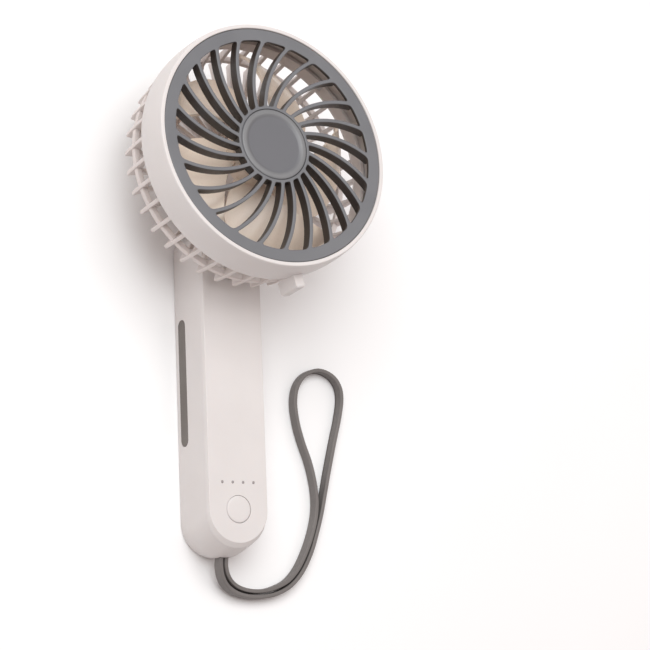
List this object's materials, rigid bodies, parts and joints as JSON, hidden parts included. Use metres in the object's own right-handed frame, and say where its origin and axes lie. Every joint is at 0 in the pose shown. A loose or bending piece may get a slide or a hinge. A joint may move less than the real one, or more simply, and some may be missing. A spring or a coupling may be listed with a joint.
{
  "type": "handheld electric fan",
  "caption": "Handheld battery fan with a ring-shaped head that leans on a hinge, a swirled front grille, a finned open rear cage, a push button and a wrist strap.",
  "frame": {"origin": "on the flat back face of the handle, half way along and across it", "axes": "+Z out of the front panel, +Y up the handle towards the head, +X to the right seen from the front; the fan lies on the back of its handle"},
  "size_m": [0.1254, 0.2444, 0.0727],
  "materials": {
    "white_shell": "satin moulded ABS",
    "grey_grille": "satin moulded ABS",
    "cream_blades": "smooth moulded ABS",
    "strip_rubber": "matte soft-touch",
    "strap": "matte moulded silicone",
    "steel": "plated",
    "dark_plastic": "matte",
    "magnet": "sintered",
    "board": "solder mask",
    "lens": "clear moulded",
    "cell_sleeve": "shrink sleeve",
    "foam": "foam",
    "wire": "insulation",
    "nylon": "matte",
    "bronze": "sintered",
    "copper": "enamelled wire"
  },
  "bodies": {
    "handle": {"rear_shell": "white_shell", "front_panel": "white_shell", "hinge_yoke": "white_shell", "yoke_screws": "steel", "hinge_pin": "steel", "friction_washers": "steel", "tact_switch": "dark_plastic", "circuit_board": "board", "board_parts": "dark_plastic", "board_screws": "steel", "charge_port": "steel", "led_lenses": "lens", "battery_cell": "cell_sleeve", "battery_tabs": "steel", "battery_pad": "foam", "battery_leads": "wire", "side_strip_left": "strip_rubber", "side_strip_right": "strip_rubber", "strap_anchor": "dark_plastic", "wrist_strap": "strap"},
    "head": {"front_ring": "white_shell", "front_grille": "grey_grille", "hub_cap": "grey_grille", "rear_cage": "white_shell", "cage_screws": "steel", "neck_arm": "white_shell", "neck_screws": "steel", "motor_can": "steel", "motor_end_cap": "nylon", "motor_magnets": "magnet", "motor_bushes": "bronze", "motor_leads": "wire", "motor_screws": "steel"},
    "impeller": {"impeller": "cream_blades", "motor_shaft": "steel", "motor_armature": "copper"},
    "button": {"power_button": "white_shell", "switch_plunger": "dark_plastic"}
  },
  "joints": [
    {"name": "head_tilt", "type": "hinge", "parent": "handle", "child": "head", "pos_m": [0, 0.0635, 0.014], "axis": [-1, 0, 0], "range_deg": [-8, 82]},
    {"name": "impeller_spin", "type": "hinge", "parent": "head", "child": "impeller", "pos_m": [0, 0.10177, 0.06497], "axis": [0, 0.1392, 0.9903], "continuous": true},
    {"name": "button_press", "type": "slide", "parent": "handle", "child": "button", "axis": [0, 0, -1], "range_m": [0, 0.0006], "stiffness_N_per_m": 2500}
  ]
}
